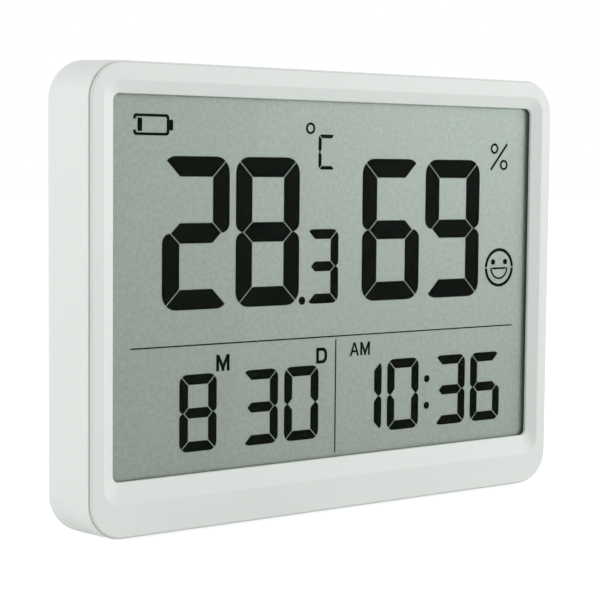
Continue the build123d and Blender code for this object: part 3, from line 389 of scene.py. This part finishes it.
# Cells: two AAA cells, head to tail in the bay. Each is a drawn steel can in a printed film
# jacket, dark with a copper-coloured band at the positive end, and bare metal at both ends.
JACKET_DARK = "#23262A"
JACKET_COPPER = "#B06A34"
CAN_STEEL = "#C4C6C8"
BAND_MM = 11
BARE_END_MM = 0.7
NUB_MM = 0.8

# A printed jacket is glossy. Steps along the cell's axis part the bare ends, the band and the rest.
for name, side in (("upper_cell", 1), ("lower_cell", -1)):
    low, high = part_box(name)
    length = high.x - low.x
    positive_end = high.x if side > 0 else low.x
    jacket, place = start_material("printed_jacket_" + name)
    axis = add_node(jacket, "ShaderNodeSeparateXYZ", links={"Vector": place})
    along = add_node(jacket, "ShaderNodeMapRange",
                     {"clamp": False, "From Min": positive_end, "From Max": positive_end - side * length,
                      "To Min": 0.0, "To Max": length / MM},
                     {"Value": (axis, "X")})
    past_band = add_node(jacket, "ShaderNodeMath", {"operation": "GREATER_THAN", "Value_001": BAND_MM},
                         {"Value": (along, "Result")})
    printed = add_node(jacket, "ShaderNodeMix",
                       {"data_type": "RGBA", "A_Color": linear(JACKET_COPPER),
                        "B_Color": linear(JACKET_DARK)},
                       {"Factor_Float": (past_band, "Value")})
    before = add_node(jacket, "ShaderNodeMath", {"operation": "LESS_THAN", "Value_001": NUB_MM + BARE_END_MM},
                      {"Value": (along, "Result")})
    after = add_node(jacket, "ShaderNodeMath",
                     {"operation": "GREATER_THAN", "Value_001": length / MM - BARE_END_MM},
                     {"Value": (along, "Result")})
    bare = add_node(jacket, "ShaderNodeMath", {"operation": "ADD"},
                    {"Value": (before, "Value"), "Value_001": (after, "Value")})
    tone = add_node(jacket, "ShaderNodeMix", {"data_type": "RGBA", "B_Color": linear(CAN_STEEL)},
                    {"Factor_Float": (bare, "Value"), "A_Color": (printed, "Result_Color")})
    add_node(jacket, "Principled BSDF", {"Roughness": 0.3},
             {"Base Color": (tone, "Result_Color"), "Metallic": (bare, "Value")})
    finish_in(jacket, name)


# Rear cover, battery door, stand leg and button caps: moulded in the same ABS as the bezel, from
# tools with the same texture. The door and the leg turn in the cover, and the caps slide in it.
finish_in(moulded_abs, "rear_cover", "battery_door", "stand_leg", "set_button", "up_button", "down_button")


# Floor: a wide white sheet that the clock stands on. To the eye it is nearly as bright as the
# backdrop, and it keeps the clock's soft shadow.
FLOOR_WHITE = "#F4F5F4"
FLOOR_HALF_WIDTH_M = 3.0
FLOOR_GLOW = 0.57
FLOOR_GLOW_STRENGTH = 1.53


def directly_seen(material):
    """1 for what the camera sees, also in gloss and through glass, and 0 for light on surfaces."""
    seen = add_node(material, "ShaderNodeLightPath")
    straight = add_node(material, "ShaderNodeMath", {"operation": "MAXIMUM"},
                        {"Value": (seen, "Is Camera Ray"), "Value_001": (seen, "Is Glossy Ray")})
    return add_node(material, "ShaderNodeMath", {"operation": "MAXIMUM"},
                    {"Value": (straight, "Value"), "Value_001": (seen, "Is Transmission Ray")})


sheet = bmesh.new()
bmesh.ops.create_grid(sheet, x_segments=1, y_segments=1, size=FLOOR_HALF_WIDTH_M)
floor_mesh = bpy.data.meshes.new("floor")
sheet.to_mesh(floor_mesh)
sheet.free()
floor = bpy.data.objects.new("floor", floor_mesh)
bpy.context.scene.collection.objects.link(floor)
paper, _ = start_material("white_paper")
share = add_node(paper, "ShaderNodeMath", {"operation": "MULTIPLY", "Value_001": FLOOR_GLOW},
                 {"Value": (directly_seen(paper), "Value")})
plain = add_node(paper, "Principled BSDF",
                 {"Base Color": linear(FLOOR_WHITE), "Roughness": 0.9, "Specular IOR Level": 0.0})
glow = add_node(paper, "ShaderNodeEmission", {"Color": (1, 1, 1, 1), "Strength": FLOOR_GLOW_STRENGTH})
both = add_node(paper, "ShaderNodeMixShader", links={
    "Fac": (share, "Value"), "Shader": (plain, "BSDF"), "Shader_001": (glow, "Emission")})
add_node(paper, "Material Output", links={"Surface": (both, "Shader")})
floor_mesh.materials.append(paper)


# Light: a white room, a softbox low at the front right and one low at the left, a little behind.
# Their angles are in degrees, their distance and width in metres.
ROOM_LIGHT = 0.61
SOFTBOXES = {
    "right_softbox": {"azimuth": 55, "elevation": 15, "away": 1.2, "width": 0.9, "radiance": 2.9},
    "left_softbox": {"azimuth": -120, "elevation": 10, "away": 1.2, "width": 0.9, "radiance": 2.5},
}

world = bpy.data.worlds.new("white_room")
world.use_nodes = True
bpy.context.scene.world = world
strength = add_node(world, "ShaderNodeMapRange", {"To Min": ROOM_LIGHT, "To Max": 1.0},
                    {"Value": (directly_seen(world), "Value")})
add_node(world, "Background", {"Color": (1, 1, 1, 1)}, {"Strength": (strength, "Result")})

target = (cad_box[0] + cad_box[1]) / 2
for name, box in SOFTBOXES.items():
    lamp = bpy.data.lights.new(name, "AREA")
    lamp.size = box["width"]
    lamp.energy = box["radiance"] * pi * box["width"] ** 2
    softbox = bpy.data.objects.new(name, lamp)
    turn = (Matrix.Rotation(radians(box["azimuth"]), 4, "Z")
            @ Matrix.Rotation(radians(90 - box["elevation"]), 4, "X"))
    softbox.matrix_world = Matrix.Translation(target) @ turn @ Matrix.Translation((0, 0, box["away"]))
    bpy.context.scene.collection.objects.link(softbox)


# Camera: as far from the clock and turned as a fit to the photograph gave. Angles are in degrees.
CAMERA_PLACE_MM = (-227.76, -289.38, 71.10)
CAMERA_YAW = 37.648
CAMERA_PITCH = 4.266
CAMERA_ROLL = 0.532
LENS_MM = 105.79
SENSOR_MM = 36

lens = bpy.data.cameras.new("camera")
lens.lens = LENS_MM
lens.sensor_width = SENSOR_MM
camera = bpy.data.objects.new("camera", lens)
aim = (Matrix.Rotation(radians(-CAMERA_YAW), 4, "Z") @ Matrix.Rotation(radians(90 - CAMERA_PITCH), 4, "X")
       @ Matrix.Rotation(radians(CAMERA_ROLL), 4, "Z"))
camera.matrix_world = Matrix.Translation(Vector(CAMERA_PLACE_MM) * MM) @ aim
bpy.context.scene.collection.objects.link(camera)
bpy.context.scene.camera = camera
bpy.context.scene.view_settings.view_transform = "Standard"
